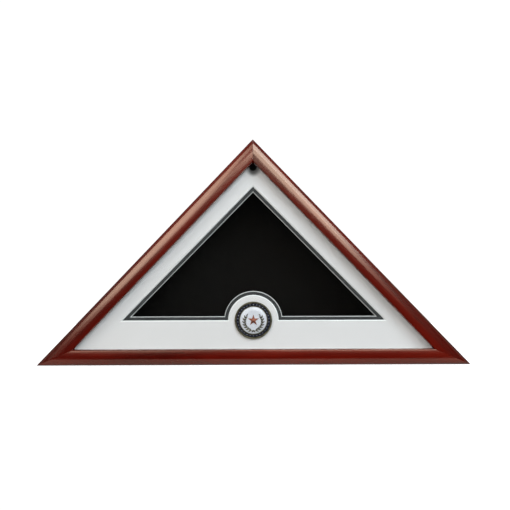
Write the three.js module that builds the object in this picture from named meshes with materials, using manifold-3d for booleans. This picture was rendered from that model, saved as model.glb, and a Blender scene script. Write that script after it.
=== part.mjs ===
// A triangular display case for a folded burial flag: a mitred hardwood box behind a moulded front
// frame, with glass, a double mat with a medallion, a lined flag space and a drop-down rear door.
//
// Millimetres. +X is to the right, +Z is up and the front faces -Y. Inside the depth group, y is the
// distance behind the front of the moulding. Outlines are drawn as (x, z) points.
import * as THREE from "three";
import { mergeVertices } from "three/addons/utils/BufferGeometryUtils.js";
import Module from "manifold-3d";

// Driving dimensions of the outline and the moulding
const BASE_WIDTH = 660;
const BASE_ANGLE = THREE.MathUtils.degToRad(46.1);
const RAIL_WIDTH = 23.9;
const RAIL_DEPTH = 19;
const CROWN_INSET = 14;
const EDGE_DROP = 7.5;
const LAND_INSET = 20.4;
const LAND_DROP = 0.4;
const SIGHT_DROP = 6.6;
const LIP_BACK = 10;
const BACK_CHAMFER = 1.4;
const MITRE_GAP = 0.12;

// Driving dimensions of the box and its door
const WALL = 16;
const BOX_BACK = 110;
const DOOR_REBATE = 10;
const DOOR_THICKNESS = 6;
const DOOR_TOP = 283;
const DOOR_TIP_X = 288.5;
const DOOR_LINING_TIP_X = 283;
const NOTCH_RADIUS = 11;
const LEDGE_HEIGHT = 6.5;
const BLOCK_FRONT = 88;

// Driving dimensions of the glass, the mats and the linings
const GLASS_THICKNESS = 2;
const GLASS_TOP = 314;
const GLASS_TIP_X = 284;
const MAT_RECESS = 7.5;
const MAT_THICKNESS = 1.5;
const LINER_THICKNESS = 1;
const MAT_TOP = 301;
const MAT_TIP_X = 286;
const MAT_NOTCH = 5.6;
const SPACER_WIDTH = 6.2;
const RETAINER_WIDTH = 6.6;
const RETAINER_DEPTH = 8;
const LINING = 1;
const WINDOW_BASE_Z = 67.4;
const WINDOW_HALF_WIDTH = 200.5;
const WINDOW_ANGLE = THREE.MathUtils.degToRad(45.5);
const WINDOW_REVEAL = 4.9;
const BUMP_RADIUS = 38.6;

// Driving dimensions of the medallion
const MEDALLION_Z = 67.4;
const MEDALLION_RADIUS = 28.5;
const RING_OUTER = 26.4;
const RING_INNER = 21.8;
const LINE_HALF = 0.4;
const MEDALLION_DEPTH = 3;
const MEDALLION_WEB = 1.6;
const RING_GLAZE = 0.8;
const FIELD_GLAZE = 0.6;
const RELIEF = 0.9;
const PAD_DEPTH = 1;
const WREATH_RADIUS = 14.2;
const WREATH_OPENING = THREE.MathUtils.degToRad(48);
const STEM_HALF = 0.5;
const LEAF_LENGTH = 5.6;
const LEAF_WIDTH = 2.3;
const LEAF_LEAN = 0.62;
const STAR_RADIUS = 9;
const STAR_WAIST = 0.382;

// Driving dimensions of the rear hardware
const HINGE_X = 150;
const HINGE_LENGTH = 38;
const LEAF_THICKNESS = 1.2;
const LEAF_DEPTH = 13;
const KNUCKLE_RADIUS = 2.2;
const KNUCKLE_BORE = 1.3;
const PIN_RADIUS = 0.95;
const KNUCKLES = 5;
const KNUCKLE_GAP = 0.3;
const SCREW_SHANK = 1.1;
const SCREW_TIP = 1.5;
const SCREW_SLOT = 0.3;
const BUTTON_LENGTH = 25;
const BUTTON_WIDTH = 9;
const BUTTON_THICKNESS = 1.4;
const BUTTON_PLACES = [0.3, 0.68];
const BUTTON_LIFT = 0.5;
const THUMB_LIP = { half: 2.6, inset: 0.5, thickness: 1.1, rise: 2.2 };
const BUMPER_X = 262;
const BUMPER_RADIUS = 4.5;
const BUMPER_DEPTH = 6;
const HANGER_Z = 293;
const HANGER_HEIGHT = 9;
const HANGER_HALF = 22;
const HANGER_NAIL_RADIUS = 0.8;
const HANGER_NAIL_HEAD = 2;
const HANGER_NAIL_LENGTH = 10;

const GAP = 0.3;
const BASE_HALF = BASE_WIDTH / 2;
const CASE_HEIGHT = BASE_HALF * Math.tan(BASE_ANGLE);
const CASE_DEPTH = BOX_BACK + BUMPER_DEPTH;
const PANE_INSET = WALL + 0.4;
const GLASS_FRONT = LIP_BACK + GAP;
const GLASS_BACK = GLASS_FRONT + GLASS_THICKNESS;
const MAT_FRONT = GLASS_BACK + MAT_RECESS;
const LINER_FRONT = MAT_FRONT + MAT_THICKNESS + 0.1;
const LINER_BACK = LINER_FRONT + LINER_THICKNESS;
const RETAINER_FRONT = LINER_BACK + 0.2;
const RETAINER_BACK = RETAINER_FRONT + RETAINER_DEPTH;
const DOOR_FRONT = BOX_BACK - DOOR_THICKNESS;
const LEDGE = DOOR_FRONT - GAP;
const DOOR_INSET = DOOR_REBATE + 0.5;
const DOOR_SLOPE_INSET = DOOR_REBATE + 1.3;
const HINGE_Z = DOOR_REBATE + 0.25;
const HINGE_Y = BOX_BACK + KNUCKLE_RADIUS + GAP;

const LOOKS = {
  cherry: { color: 0x6e2313, roughness: 0.28, metalness: 0 },
  stained: { color: 0x4f1a10, roughness: 0.5, metalness: 0 },
  blackWood: { color: 0x12100e, roughness: 0.7, metalness: 0 },
  plywood: { color: 0x8a5a3a, roughness: 0.65, metalness: 0 },
  glass: { color: 0xe8f0f0, roughness: 0.05, metalness: 0, transparent: true, opacity: 0.2 },
  whiteMat: { color: 0xe4e3df, roughness: 0.85, metalness: 0 },
  greyMat: { color: 0x33332f, roughness: 0.85, metalness: 0 },
  flock: { color: 0x0c0b0a, roughness: 0.95, metalness: 0 },
  bronze: { color: 0x6f6544, roughness: 0.42, metalness: 1 },
  copper: { color: 0x9a6450, roughness: 0.4, metalness: 1 },
  navyEnamel: { color: 0x14182c, roughness: 0.2, metalness: 0 },
  paleEnamel: { color: 0xd6d7dc, roughness: 0.3, metalness: 0 },
  foam: { color: 0xdcdcd8, roughness: 0.9, metalness: 0 },
  brass: { color: 0xb08d45, roughness: 0.35, metalness: 1 },
  steel: { color: 0x9a9c9e, roughness: 0.35, metalness: 1 },
  rubber: { color: 0x191919, roughness: 0.9, metalness: 0 },
};

const wasm = await Module();
wasm.setup();

// ---- joining and cutting -------------------------------------------------------------------------

function solidOf(geometry) {
  const bare = geometry.clone();
  bare.deleteAttribute("normal");
  bare.deleteAttribute("uv");
  const merged = mergeVertices(bare, 1e-4);
  const mesh = new wasm.Mesh({
    numProp: 3,
    vertProperties: merged.attributes.position.array,
    triVerts: new Uint32Array(merged.index.array),
  });
  return new wasm.Manifold(mesh);
}

function geometryOf(solid) {
  const mesh = solid.getMesh();
  const geometry = new THREE.BufferGeometry();
  geometry.setAttribute("position", new THREE.BufferAttribute(mesh.vertProperties, 3));
  geometry.setIndex(new THREE.BufferAttribute(mesh.triVerts, 1));
  geometry.computeVertexNormals();
  return geometry;
}

function join(...geometries) {
  const solids = geometries.map(solidOf);
  return geometryOf(solids.reduce((whole, next) => whole.add(next)));
}

function cut(body, ...tools) {
  const solids = tools.map(solidOf);
  return geometryOf(solids.reduce((rest, tool) => rest.subtract(tool), solidOf(body)));
}

// ---- shapes --------------------------------------------------------------------------------------

const point = (x, z) => new THREE.Vector2(x, z);

// A corner of the case's outline after all three sides move in by inset.
function corner(name, inset) {
  if (name === "apex") return point(0, CASE_HEIGHT - inset / Math.cos(BASE_ANGLE));
  const reach = BASE_HALF - inset / Math.tan(BASE_ANGLE / 2);
  return point(name === "left" ? -reach : reach, inset);
}

// The three sides run counter-clockwise as seen from the front, so one profile fits them all.
const SIDES = {
  bottom: ["left", "right"],
  right: ["right", "apex"],
  left: ["apex", "left"],
};

// A straight bar along one side, mitred at both ends. Its profile lists (inset, depth) points.
function mitredBar(side, profile) {
  const [from, to] = SIDES[side];
  const along = corner(to, 0).sub(corner(from, 0)).setLength(MITRE_GAP);
  const ring = (name, shift) =>
    profile.map(([inset, depth]) => {
      const place = corner(name, inset).addScaledVector(along, shift);
      return new THREE.Vector3(place.x, depth, place.y);
    });
  return loft(ring(from, 1), ring(to, -1));
}

const bar = (side, inner, outer, front, back) =>
  mitredBar(side, [[outer, back], [inner, back], [inner, front], [outer, front]]);

// A closed solid between two rings with the same number of points.
function loft(start, end) {
  const count = start.length;
  const flat = profilePlane(start);
  const caps = THREE.ShapeUtils.triangulateShape(flat, []);
  if (THREE.ShapeUtils.isClockWise(flat)) caps.forEach((cap) => cap.reverse());
  const index = [];
  caps.forEach(([a, b, c]) => {
    index.push(a, b, c);
    index.push(count + c, count + b, count + a);
  });
  for (let i = 0; i < count; i += 1) {
    const next = (i + 1) % count;
    index.push(i, count + i, next);
    index.push(next, count + i, count + next);
  }
  const geometry = new THREE.BufferGeometry().setFromPoints([...start, ...end]);
  geometry.setIndex(signedVolume(geometry, index) < 0 ? index.reverse() : index);
  geometry.computeVertexNormals();
  return geometry;
}

// Ring points on the flattest pair of axes, for triangulating the ring's cap.
function profilePlane(ring) {
  const size = new THREE.Box3().setFromPoints(ring).getSize(new THREE.Vector3());
  if (size.y < 1e-6) return ring.map((p) => point(p.x, p.z));
  return ring.map((p) => point(Math.abs(size.x) > 1e-6 ? p.x : p.z, p.y));
}

function signedVolume(geometry, index) {
  const place = geometry.attributes.position;
  const [a, b, c] = [new THREE.Vector3(), new THREE.Vector3(), new THREE.Vector3()];
  let sum = 0;
  for (let i = 0; i < index.length; i += 3) {
    a.fromBufferAttribute(place, index[i]);
    b.fromBufferAttribute(place, index[i + 1]);
    c.fromBufferAttribute(place, index[i + 2]);
    sum += a.dot(b.cross(c));
  }
  return sum;
}

// A flat plate of the given outline between two depths.
function plate(outline, front, back) {
  const shape = outline instanceof THREE.Shape ? outline : new THREE.Shape(outline);
  const geometry = new THREE.ExtrudeGeometry(shape, {
    depth: back - front,
    bevelEnabled: false,
    curveSegments: 12,
  });
  return geometry.rotateX(Math.PI / 2).translate(0, back, 0);
}

// A solid turned about the depth axis. Its profile lists (radius, depth) points.
function turned(profile, segments = 24) {
  const points = profile.map(([radius, depth]) => point(radius, depth));
  if (THREE.ShapeUtils.area(points) < 0) points.reverse();
  return new THREE.LatheGeometry(points, segments);
}

const disc = (radius, front, back, segments) =>
  turned([[0, front], [radius, front], [radius, back], [0, back]], segments);

const washer = (hole, radius, front, back, segments) =>
  turned(
    [[hole, front], [radius, front], [radius, back], [hole, back], [hole, front]],
    segments,
  );

// The case's triangle with its base moved in by inset and its slopes by slopeInset. Its top and its
// two lower tips are cut square.
function trimmedOutline(inset, top, tipX, slopeInset = inset) {
  const apexZ = corner("apex", slopeInset).y;
  const slope = Math.tan(BASE_ANGLE);
  const topHalf = (apexZ - top) / slope;
  const tipZ = apexZ - tipX * slope;
  return [
    point(-tipX, inset),
    point(tipX, inset),
    point(tipX, tipZ),
    point(topHalf, top),
    point(-topHalf, top),
    point(-tipX, tipZ),
  ];
}

// The apex part of the case's triangle moved in by inset, above a level line.
function apexOutline(inset, bottom) {
  const tip = corner("apex", inset);
  const half = (tip.y - bottom) / Math.tan(BASE_ANGLE);
  return [point(-half, bottom), point(half, bottom), tip];
}

// The mats' window made smaller by inset: a triangle with a half-round bump over the medallion.
function windowOutline(inset) {
  const half = WINDOW_HALF_WIDTH - inset / Math.tan(WINDOW_ANGLE / 2);
  const baseZ = WINDOW_BASE_Z + inset;
  const topZ = WINDOW_BASE_Z + WINDOW_HALF_WIDTH * Math.tan(WINDOW_ANGLE);
  const radius = BUMP_RADIUS + inset;
  const start = Math.asin(inset / radius);
  const steps = 28;
  const outline = [point(-half, baseZ)];
  for (let i = 0; i <= steps; i += 1) {
    const turn = Math.PI - start - ((Math.PI - 2 * start) * i) / steps;
    outline.push(point(radius * Math.cos(turn), WINDOW_BASE_Z + radius * Math.sin(turn)));
  }
  outline.push(point(half, baseZ));
  outline.push(point(0, topZ - inset / Math.cos(WINDOW_ANGLE)));
  return outline;
}

// ---- the group -----------------------------------------------------------------------------------

const flagCase = new THREE.Group();
const depthGroup = new THREE.Group();
depthGroup.position.y = -CASE_DEPTH / 2;
flagCase.add(depthGroup);

function add(name, geometry, look, parent = depthGroup) {
  const mesh = new THREE.Mesh(geometry, new THREE.MeshStandardMaterial(look));
  mesh.name = name;
  parent.add(mesh);
  return mesh;
}

// ---- front moulding ------------------------------------------------------------------------------

// The moulding is highest near its middle. It rounds over to its outer edge, keeps an almost flat
// land towards the opening, rounds over again at the sight edge and has a rebate for the glass.
function mouldingProfile() {
  const profile = [[BACK_CHAMFER, RAIL_DEPTH], [0, RAIL_DEPTH - BACK_CHAMFER]];
  const roundSteps = 10;
  for (let i = 0; i <= roundSteps; i += 1) {
    const turn = (Math.PI / 2) * (i / roundSteps);
    const inset = CROWN_INSET * (1 - Math.cos(turn));
    profile.push([inset, EDGE_DROP * (1 - Math.sin(turn))]);
  }
  profile.push([(CROWN_INSET + LAND_INSET) / 2, LAND_DROP / 4], [LAND_INSET, LAND_DROP]);
  const sightSteps = 5;
  for (let i = 1; i <= sightSteps; i += 1) {
    const turn = (Math.PI / 2) * (i / sightSteps);
    const inset = LAND_INSET + (RAIL_WIDTH - LAND_INSET) * Math.sin(turn);
    profile.push([inset, LAND_DROP + (SIGHT_DROP - LAND_DROP) * (1 - Math.cos(turn))]);
  }
  profile.push([RAIL_WIDTH, LIP_BACK]);
  profile.push([WALL, LIP_BACK], [WALL, RAIL_DEPTH]);
  return profile;
}

// A folded V of steel strip that ties one mitre together from behind.
const NAIL_INSET = 6;
const NAIL_BACK = RAIL_DEPTH - 0.2;
const NAIL_FRONT = RAIL_DEPTH - 9;
const NAIL_REACH = 6;
const NAIL_SPREAD = 0.57;
const NAIL_CLEARANCE = 0.35;

function vNailOutline(name, growth) {
  const outerTip = -2 * growth;
  const innerTip = 1 + 2 * growth;
  const end = NAIL_REACH + growth;
  const inward = corner(name, NAIL_INSET).sub(corner(name, 0)).normalize();
  const across = point(-inward.y, inward.x);
  const origin = corner(name, NAIL_INSET);
  const outerReach = (end - outerTip) * NAIL_SPREAD;
  const innerReach = (end - innerTip) * NAIL_SPREAD;
  const local = [
    [end, outerReach], [outerTip, 0], [end, -outerReach],
    [end, -innerReach], [innerTip, 0], [end, innerReach],
  ];
  return local.map(([u, w]) =>
    origin.clone().addScaledVector(inward, u).addScaledVector(across, w));
}

for (const side of Object.keys(SIDES)) {
  const pockets = SIDES[side].map((name) =>
    plate(vNailOutline(name, NAIL_CLEARANCE), NAIL_FRONT - GAP, RAIL_DEPTH + 1));
  add(`rail_${side}`, cut(mitredBar(side, mouldingProfile()), ...pockets), LOOKS.cherry);
}
for (const name of ["left", "right", "apex"]) {
  add(`v_nail_${name}`, plate(vNailOutline(name, 0), NAIL_FRONT, NAIL_BACK), LOOKS.steel);
}

// ---- box -----------------------------------------------------------------------------------------

// Places on the rear edge of a sloping board: share 0 is the lower corner and 1 is the apex.
function buttonPivot(hand, share) {
  const inset = DOOR_REBATE / 2;
  const low = corner(hand, inset);
  return low.lerp(corner("apex", inset), share);
}

const hingeScrewX = [-0.3 * HINGE_LENGTH, 0.3 * HINGE_LENGTH];
const CASE_SCREW_Z = 4.1;
const DOOR_SCREW_Z = HINGE_Z + 9;

const pilotHole = (x, z, length, radius = SCREW_SHANK + GAP) =>
  disc(radius, BOX_BACK - length, BOX_BACK + 2, 12).translate(x, 0, z);

function hingeHoles(z, length) {
  return [-HINGE_X, HINGE_X].flatMap((x) =>
    hingeScrewX.map((shift) => pilotHole(x + shift, z, length)));
}

// Each board is rebated along its rear inner edge, where the door rests.
const boardProfile = [
  [0, BOX_BACK], [0, RAIL_DEPTH], [WALL, RAIL_DEPTH],
  [WALL, LEDGE], [DOOR_REBATE, LEDGE], [DOOR_REBATE, BOX_BACK],
];
const SHANK_LENGTH = 9;
const holesOf = {
  bottom: hingeHoles(CASE_SCREW_Z, SHANK_LENGTH + 1),
  left: BUTTON_PLACES.map((share) => buttonPivot("left", share))
    .map((at) => pilotHole(at.x, at.y, SHANK_LENGTH + 1)),
  right: BUTTON_PLACES.map((share) => buttonPivot("right", share))
    .map((at) => pilotHole(at.x, at.y, SHANK_LENGTH + 1)),
};
const BOARD_NAMES = { bottom: "bottom_board", left: "side_board_left", right: "side_board_right" };
for (const [side, name] of Object.entries(BOARD_NAMES)) {
  add(name, cut(mitredBar(side, boardProfile), ...holesOf[side]), LOOKS.stained);
}

// The corner block fills the apex behind the flag space and carries the hanger. Its rear part is
// wider, because it lies in the rebates of the side boards.
const blockSill = DOOR_TOP + 0.5;
const blockFront = plate(apexOutline(WALL + GAP, DOOR_TOP - LEDGE_HEIGHT), BLOCK_FRONT, LEDGE);
const blockNeck = plate(apexOutline(WALL + GAP, blockSill), LEDGE - 1, LEDGE + 1);
const blockRear = plate(apexOutline(DOOR_REBATE + GAP, blockSill), LEDGE + GAP, BOX_BACK);
const nailX = HANGER_HALF - 3;
const nailZ = HANGER_Z + HANGER_HEIGHT / 2;
const nailHoles = [-nailX, nailX].map((x) =>
  pilotHole(x, nailZ, HANGER_NAIL_LENGTH + 1, HANGER_NAIL_RADIUS + GAP));
add("apex_block", cut(join(blockFront, blockNeck, blockRear), ...nailHoles), LOOKS.blackWood);

// ---- glass, spacers, mats and what holds them ------------------------------------------------------

add("glass_pane",
  plate(trimmedOutline(PANE_INSET, GLASS_TOP, GLASS_TIP_X), GLASS_FRONT, GLASS_BACK), LOOKS.glass);

for (const side of Object.keys(SIDES)) {
  const inner = PANE_INSET + SPACER_WIDTH;
  add(`spacer_${side}`, bar(side, inner, PANE_INSET, GLASS_BACK + 0.2, MAT_FRONT - 0.2),
    LOOKS.foam);
}

// A mat with its window cut at 45 degrees, so the window is wider in front, and a small round
// notch in its cut-off top corner.
function bevelledMat(front, thickness, inset) {
  const back = front + thickness;
  const past = 0.5;
  const ring = (outline, depth) => outline.map((p) => new THREE.Vector3(p.x, depth, p.y));
  const window = loft(
    ring(windowOutline(inset - thickness - past), front - past),
    ring(windowOutline(inset + past), back + past),
  );
  const notch = disc(MAT_NOTCH, front - past, back + past, 20).translate(0, 0, MAT_TOP);
  return cut(plate(trimmedOutline(PANE_INSET, MAT_TOP, MAT_TIP_X), front, back), window, notch);
}

add("top_mat", bevelledMat(MAT_FRONT, MAT_THICKNESS, 0), LOOKS.whiteMat);
add("liner_mat", bevelledMat(LINER_FRONT, LINER_THICKNESS, WINDOW_REVEAL + LINER_THICKNESS),
  LOOKS.greyMat);

for (const side of Object.keys(SIDES)) {
  const inner = PANE_INSET + RETAINER_WIDTH;
  add(`retainer_${side}`, bar(side, inner, PANE_INSET, RETAINER_FRONT, RETAINER_BACK),
    LOOKS.blackWood);
}

// Flocked lining on the inside of the three boards, cut away round the corner block.
const blockRoom = plate(apexOutline(WALL - 1, DOOR_TOP - LEDGE_HEIGHT - GAP),
  BLOCK_FRONT - GAP, BOX_BACK);
for (const side of Object.keys(SIDES)) {
  const skin = bar(side, WALL + GAP + LINING, WALL + GAP, RETAINER_BACK + GAP, LEDGE - 0.5);
  add(`wall_lining_${side}`, side === "bottom" ? skin : cut(skin, blockRoom), LOOKS.flock);
}

// ---- medallion -------------------------------------------------------------------------------------

const medallion = new THREE.Group();
medallion.position.set(0, MAT_FRONT - 0.1, MEDALLION_Z);
depthGroup.add(medallion);

const PAD_FRONT = -PAD_DEPTH;
const BODY_BACK = PAD_FRONT - 0.1;
const BODY_FRONT = BODY_BACK - MEDALLION_DEPTH;
const FLOOR = BODY_BACK - MEDALLION_WEB;
const GLAZE_BACK = FLOOR - 0.1;
const RIM_ROUND = 0.9;
const BACK_EASE = 0.8;

add("medallion_pad", disc(MEDALLION_RADIUS - 4, PAD_FRONT, 0, 40), LOOKS.foam, medallion);

// A cast disc with a raised rim and a raised line between the enamel ring and the field.
const LINE_FRONT = BODY_FRONT + 0.5;
const castProfile = [
  [0, BODY_BACK], [MEDALLION_RADIUS - BACK_EASE, BODY_BACK],
  [MEDALLION_RADIUS, BODY_BACK - BACK_EASE],
  [MEDALLION_RADIUS, BODY_FRONT + RIM_ROUND], [MEDALLION_RADIUS - RIM_ROUND, BODY_FRONT],
  [RING_OUTER + RIM_ROUND / 2, BODY_FRONT], [RING_OUTER, BODY_FRONT + RIM_ROUND / 2],
  [RING_OUTER, FLOOR],
  [RING_INNER + LINE_HALF, FLOOR], [RING_INNER + LINE_HALF, LINE_FRONT],
  [RING_INNER - LINE_HALF, LINE_FRONT], [RING_INNER - LINE_HALF, FLOOR], [0, FLOOR],
];
add("medallion_body", turned(castProfile, 56), LOOKS.bronze, medallion);
add("medallion_enamel_ring",
  washer(RING_INNER + LINE_HALF + GAP, RING_OUTER - GAP, FLOOR - RING_GLAZE, GLAZE_BACK, 48),
  LOOKS.navyEnamel, medallion);
const FIELD_FRONT = FLOOR - FIELD_GLAZE;
add("medallion_field", disc(RING_INNER - LINE_HALF - GAP, FIELD_FRONT, GLAZE_BACK, 48),
  LOOKS.paleEnamel, medallion);

function starOutline(radius) {
  const waist = radius * STAR_WAIST;
  const outline = [];
  for (let i = 0; i < 10; i += 1) {
    const turn = Math.PI / 2 + (Math.PI * i) / 5;
    const reach = i % 2 ? waist : radius;
    outline.push(point(reach * Math.cos(turn), reach * Math.sin(turn)));
  }
  return outline;
}

// One pointed leaf from its foot, along a heading.
function leafOutline(foot, heading, length, width) {
  const leaf = new THREE.Shape();
  const ahead = point(Math.cos(heading), Math.sin(heading));
  const side = point(-ahead.y, ahead.x);
  const tip = foot.clone().addScaledVector(ahead, length);
  const bulge = (sign) =>
    foot.clone().addScaledVector(ahead, length * 0.45).addScaledVector(side, sign * width);
  leaf.moveTo(foot.x, foot.y);
  leaf.quadraticCurveTo(bulge(1).x, bulge(1).y, tip.x, tip.y);
  leaf.quadraticCurveTo(bulge(-1).x, bulge(-1).y, foot.x, foot.y);
  return new THREE.Shape(leaf.getPoints(4));
}

// Two laurel sprays on one curved stem, open at the top.
const RELIEF_FRONT = FIELD_FRONT - RELIEF;
const RELIEF_BACK = FIELD_FRONT - 0.05;
function wreath() {
  const start = Math.PI / 2 + WREATH_OPENING;
  const end = Math.PI / 2 - WREATH_OPENING + 2 * Math.PI;
  const stem = new THREE.Shape();
  stem.absarc(0, 0, WREATH_RADIUS + STEM_HALF, start, end);
  stem.absarc(0, 0, WREATH_RADIUS - STEM_HALF, end, start, true);
  const pieces = [plate(stem, RELIEF_FRONT, RELIEF_BACK)];
  const leaves = 6;
  for (const hand of [-1, 1]) {
    for (let i = 0; i < leaves; i += 1) {
      const turn = -Math.PI / 2 + hand * (0.35 + (i * 1.95) / leaves);
      const foot = point(WREATH_RADIUS * Math.cos(turn), WREATH_RADIUS * Math.sin(turn));
      for (const lean of [-LEAF_LEAN, LEAF_LEAN]) {
        const heading = turn + hand * (Math.PI / 2) + lean;
        const leaf = leafOutline(foot, heading, LEAF_LENGTH, LEAF_WIDTH);
        pieces.push(plate(leaf, RELIEF_FRONT, RELIEF_BACK));
      }
    }
  }
  return join(...pieces);
}
add("medallion_wreath", wreath(), LOOKS.bronze, medallion);
add("medallion_star", plate(starOutline(STAR_RADIUS), RELIEF_FRONT - 0.2, RELIEF_BACK),
  LOOKS.copper, medallion);

// ---- rear door ---------------------------------------------------------------------------------------

const notch = disc(NOTCH_RADIUS, DOOR_FRONT - 1, BOX_BACK + 1, 28).translate(0, 0, DOOR_TOP);
const doorOutline = trimmedOutline(DOOR_INSET, DOOR_TOP, DOOR_TIP_X, DOOR_SLOPE_INSET);
const doorPlate = plate(doorOutline, DOOR_FRONT, BOX_BACK);
const DOOR_SHANK = DOOR_THICKNESS - 0.6;
add("door_panel", cut(doorPlate, notch, ...hingeHoles(DOOR_SCREW_Z, DOOR_SHANK)), LOOKS.plywood);

const doorLining = trimmedOutline(WALL + 2.5, DOOR_TOP - LEDGE_HEIGHT - 3, DOOR_LINING_TIP_X);
add("door_lining", plate(doorLining, DOOR_FRONT - LINING, DOOR_FRONT), LOOKS.flock);

// ---- hinges ------------------------------------------------------------------------------------------

// A rod lying along X about the hinge axis, from x0 to x1.
function alongX(radius, x0, x1, segments = 20) {
  const round = new THREE.Shape().absarc(0, 0, radius, 0, 2 * Math.PI);
  const geometry = new THREE.ExtrudeGeometry(round, {
    depth: x1 - x0,
    bevelEnabled: false,
    curveSegments: segments,
  });
  return geometry.rotateY(Math.PI / 2).translate(x0, HINGE_Y, HINGE_Z);
}

const rectangle = (x0, x1, z0, z1) =>
  [point(x0, z0), point(x1, z0), point(x1, z1), point(x0, z1)];

// A leaf goes from farZ to just short of the axis, and a tab joins it to each of its knuckles.
function hingeLeaf(farZ, screwZ, onCase) {
  const way = Math.sign(HINGE_Z - farZ);
  const nearZ = HINGE_Z - way * (KNUCKLE_RADIUS + 0.4);
  const half = HINGE_LENGTH / 2;
  const back = BOX_BACK + LEAF_THICKNESS;
  const [low, high] = [Math.min(farZ, nearZ), Math.max(farZ, nearZ)];
  const pieces = [plate(rectangle(-half, half, low, high), BOX_BACK, back)];
  const pitch = HINGE_LENGTH / KNUCKLES;
  for (let i = onCase ? 0 : 1; i < KNUCKLES; i += 2) {
    const x0 = -half + i * pitch + KNUCKLE_GAP / 2;
    const x1 = x0 + pitch - KNUCKLE_GAP;
    const tabEnds = [nearZ - 0.2 * way, HINGE_Z - 0.2 * way];
    const tab = rectangle(x0, x1, Math.min(...tabEnds), Math.max(...tabEnds));
    pieces.push(plate(tab, BOX_BACK + GAP, back), alongX(KNUCKLE_RADIUS, x0, x1));
  }
  const bore = alongX(KNUCKLE_BORE, -half - 1, half + 1);
  const holes = hingeScrewX.map((x) =>
    disc(SCREW_SHANK + GAP, BOX_BACK - 1, back + 1, 14).translate(x, 0, screwZ));
  return cut(join(...pieces), bore, ...holes);
}

// A round-headed slotted screw driven forwards, with the underside of its head at depth 0.
function screw(shankLength, headRadius, headHeight) {
  const profile = [[0, -shankLength], [0.3, -shankLength], [SCREW_SHANK, SCREW_TIP - shankLength],
    [SCREW_SHANK, 0], [headRadius, 0]];
  const steps = 4;
  for (let i = 1; i <= steps; i += 1) {
    const turn = (Math.PI / 2) * (i / steps);
    profile.push([headRadius * Math.cos(turn) * (i < steps ? 1 : 0),
      headHeight * Math.sin(turn)]);
  }
  const slotHalf = headRadius + 1;
  const slot = plate(rectangle(-slotHalf, slotHalf, -SCREW_SLOT, SCREW_SLOT),
    headHeight * 0.55, headHeight + 1);
  return cut(turned(profile, 16), slot);
}

const CASE_LEAF_EDGE = 0.6;
const HINGE_HEAD = { radius: 2.2, height: 0.9 };
const BUTTON_HEAD = { radius: 2.9, height: 1.5 };
for (const [hand, x] of [["left", -HINGE_X], ["right", HINGE_X]]) {
  const hinge = new THREE.Group();
  hinge.position.x = x;
  depthGroup.add(hinge);
  add(`hinge_leaf_case_${hand}`, hingeLeaf(CASE_LEAF_EDGE, CASE_SCREW_Z, true),
    LOOKS.brass, hinge);
  add(`hinge_leaf_door_${hand}`, hingeLeaf(HINGE_Z + LEAF_DEPTH, DOOR_SCREW_Z, false),
    LOOKS.brass, hinge);
  const pinHalf = HINGE_LENGTH / 2 + 0.6;
  add(`hinge_pin_${hand}`, alongX(PIN_RADIUS, -pinHalf, pinHalf, 16), LOOKS.brass, hinge);
  hingeScrewX.forEach((shift, i) => {
    const head = BOX_BACK + LEAF_THICKNESS;
    const reach = head - BOX_BACK;
    const onCase = add(`hinge_screw_case_${hand}_${i + 1}`,
      screw(SHANK_LENGTH + reach, HINGE_HEAD.radius, HINGE_HEAD.height), LOOKS.brass, hinge);
    onCase.position.set(shift, head + 0.1, CASE_SCREW_Z);
    const onDoor = add(`hinge_screw_door_${hand}_${i + 1}`,
      screw(DOOR_SHANK - 1 + reach, HINGE_HEAD.radius, HINGE_HEAD.height), LOOKS.brass, hinge);
    onDoor.position.set(shift, head + 0.1, DOOR_SCREW_Z);
  });
}

// ---- turn buttons --------------------------------------------------------------------------------------

// A brass plate with round ends that turns on a screw near one end and has an upturned thumb lip.
function turnButton() {
  const half = BUTTON_WIDTH / 2;
  const span = BUTTON_LENGTH - BUTTON_WIDTH;
  const outline = new THREE.Shape();
  outline.absarc(0, 0, half, Math.PI, 2 * Math.PI);
  outline.absarc(0, span, half, 0, Math.PI);
  outline.holes.push(new THREE.Path().absarc(0, 0, SCREW_SHANK + GAP, 0, 2 * Math.PI, true));
  const lipEnd = span + half - THUMB_LIP.inset;
  const lipStart = lipEnd - THUMB_LIP.thickness;
  const lip = plate(rectangle(-THUMB_LIP.half, THUMB_LIP.half, lipStart, lipEnd),
    BUTTON_THICKNESS - 0.2, BUTTON_THICKNESS + THUMB_LIP.rise);
  return join(plate(outline, 0, BUTTON_THICKNESS), lip);
}

const LEVELS = ["low", "high"];
for (const hand of ["left", "right"]) {
  const lean = (hand === "left" ? 1 : -1) * (Math.PI / 2 - BASE_ANGLE);
  BUTTON_PLACES.forEach((share, i) => {
    const at = buttonPivot(hand, share);
    const group = new THREE.Group();
    group.position.set(at.x, BOX_BACK, at.y);
    depthGroup.add(group);
    const label = `${hand}_${LEVELS[i]}`;
    const button = add(`turn_button_${label}`, turnButton(), LOOKS.brass, group);
    button.position.y = BUTTON_LIFT;
    button.rotation.y = lean;
    const head = BUTTON_LIFT + BUTTON_THICKNESS + 0.2;
    const buttonScrew = screw(SHANK_LENGTH + head - 1, BUTTON_HEAD.radius, BUTTON_HEAD.height);
    const turnScrew = add(`turn_screw_${label}`, buttonScrew, LOOKS.brass, group);
    turnScrew.position.y = head;
  });
}

// ---- hanger and bumpers ----------------------------------------------------------------------------------

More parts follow.
